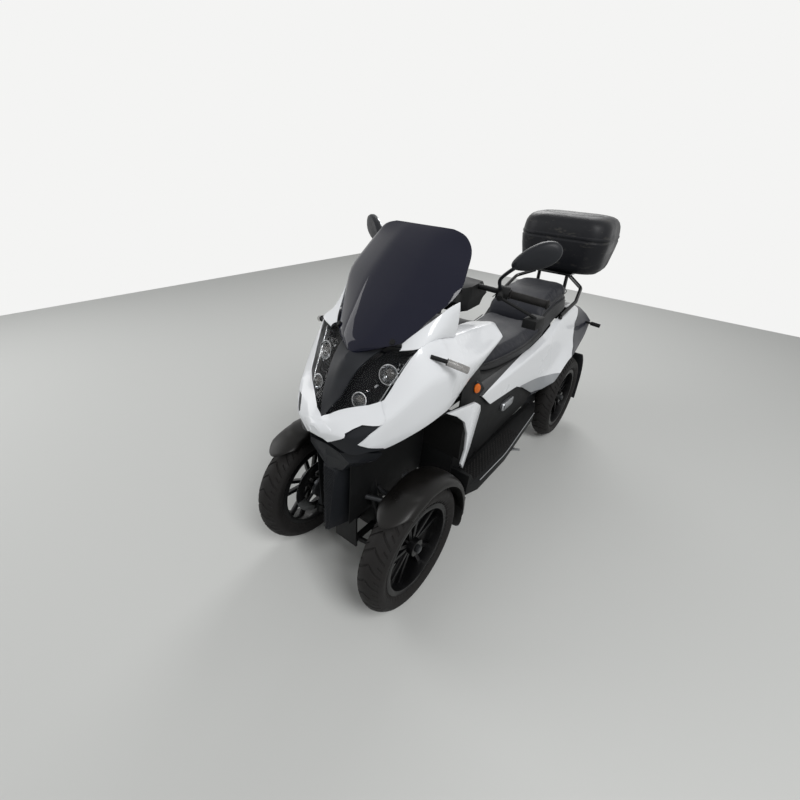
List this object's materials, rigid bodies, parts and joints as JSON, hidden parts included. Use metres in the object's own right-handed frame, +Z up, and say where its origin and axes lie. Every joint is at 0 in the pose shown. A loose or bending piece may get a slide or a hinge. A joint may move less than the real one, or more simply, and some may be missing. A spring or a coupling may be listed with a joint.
{
  "type": "tilting four-wheel scooter",
  "caption": "White and black tilting four-wheel scooter with a tinted windscreen, stepped seat, grab rails and a black top case.",
  "frame": {"origin": "on the ground, at the middle of the footprint", "axes": "+Z up, -Y forward in the direction of travel, +X to the rider's left"},
  "size_m": [0.8688, 2.4858, 1.3449],
  "materials": {
    "white_fairing": "gloss",
    "black_gloss_plastic": "gloss",
    "black_plastic": "satin",
    "frame_paint": "satin",
    "engine_metal": "matte",
    "steel": "satin",
    "rim_paint": "gloss",
    "tyre_rubber": "matte",
    "grip_rubber": "matte",
    "seat_cover": "satin",
    "lamp_lens": "gloss",
    "tinted_screen": "gloss",
    "red_lens": "gloss"
  },
  "bodies": {
    "chassis": {"frame": "frame_paint", "front_arms": "frame_paint", "struts": "steel", "engine": "engine_metal", "rear_arms": "frame_paint", "headlights": "lamp_lens", "nose_panel": "white_fairing", "side_fairings": "white_fairing", "cockpit_cover": "black_gloss_plastic", "beak": "black_gloss_plastic", "snout": "black_plastic", "windscreen": "tinted_screen", "side_bands": "white_fairing", "tail_panels": "black_gloss_plastic", "luggage_tub": "black_plastic", "body_shell": "black_plastic", "arch_trims": "white_fairing", "footboards": "black_plastic", "rack": "frame_paint", "top_case_base": "black_plastic", "rear_mudguards": "black_plastic", "exhaust": "steel", "plate_holder": "black_plastic", "signal_lamps": "red_lens", "pegs": "engine_metal"},
    "handlebar": {"handlebar": "frame_paint", "bar_cover": "black_plastic", "grips": "grip_rubber", "controls": "black_plastic", "mirrors": "black_plastic"},
    "knuckle_left": {"knuckle_left": "engine_metal", "front_mudguard_left": "black_plastic"},
    "knuckle_right": {"knuckle_right": "engine_metal", "front_mudguard_right": "black_plastic"},
    "front_wheel_left": {"tyre_front_left": "tyre_rubber", "rim_front_left": "rim_paint"},
    "front_wheel_right": {"tyre_front_right": "tyre_rubber", "rim_front_right": "rim_paint"},
    "rear_wheel_left": {"tyre_rear_left": "tyre_rubber", "rim_rear_left": "rim_paint"},
    "rear_wheel_right": {"tyre_rear_right": "tyre_rubber", "rim_rear_right": "rim_paint"},
    "seat": {"seat": "seat_cover"},
    "top_case_lid": {"top_case_lid": "black_plastic"},
    "side_stand": {"side_stand": "frame_paint"}
  },
  "joints": [
    {"name": "steering", "type": "hinge", "parent": "chassis", "child": "handlebar", "pos_m": [0, -0.345, 1.096], "axis": [0, 0.4226, 0.9063], "range_deg": [-28, 28]},
    {"name": "steer_left", "type": "hinge", "parent": "chassis", "child": "knuckle_left", "pos_m": [0.2, -0.977, 0.266], "axis": [0, 0.1736, 0.9848], "range_deg": [-28, 28]},
    {"name": "steer_right", "type": "hinge", "parent": "chassis", "child": "knuckle_right", "pos_m": [-0.2, -0.977, 0.266], "axis": [0, 0.1736, 0.9848], "range_deg": [-28, 28]},
    {"name": "front_wheel_left_spin", "type": "hinge", "parent": "knuckle_left", "child": "front_wheel_left", "pos_m": [0.275, -0.977, 0.266], "axis": [1, 0, 0], "continuous": true},
    {"name": "front_wheel_right_spin", "type": "hinge", "parent": "knuckle_right", "child": "front_wheel_right", "pos_m": [-0.275, -0.977, 0.266], "axis": [1, 0, 0], "continuous": true},
    {"name": "rear_wheel_left_spin", "type": "hinge", "parent": "chassis", "child": "rear_wheel_left", "pos_m": [0.275, 0.603, 0.266], "axis": [1, 0, 0], "continuous": true},
    {"name": "rear_wheel_right_spin", "type": "hinge", "parent": "chassis", "child": "rear_wheel_right", "pos_m": [-0.275, 0.603, 0.266], "axis": [1, 0, 0], "continuous": true},
    {"name": "seat_hinge", "type": "hinge", "parent": "chassis", "child": "seat", "pos_m": [0, -0.336, 0.716], "axis": [1, 0, 0], "range_deg": [0, 50]},
    {"name": "case_lid_hinge", "type": "hinge", "parent": "chassis", "child": "top_case_lid", "pos_m": [0, 0.811, 1.1788], "axis": [1, 0, 0], "range_deg": [0, 65]},
    {"name": "stand_hinge", "type": "hinge", "parent": "chassis", "child": "side_stand", "pos_m": [0.25, -0.337, 0.24], "axis": [-1, 0, 0], "range_deg": [0, 90]}
  ],
  "couplings": [
    {"joint": "steer_left", "follows": "steering", "ratio": 1},
    {"joint": "steer_right", "follows": "steering", "ratio": 1}
  ]
}
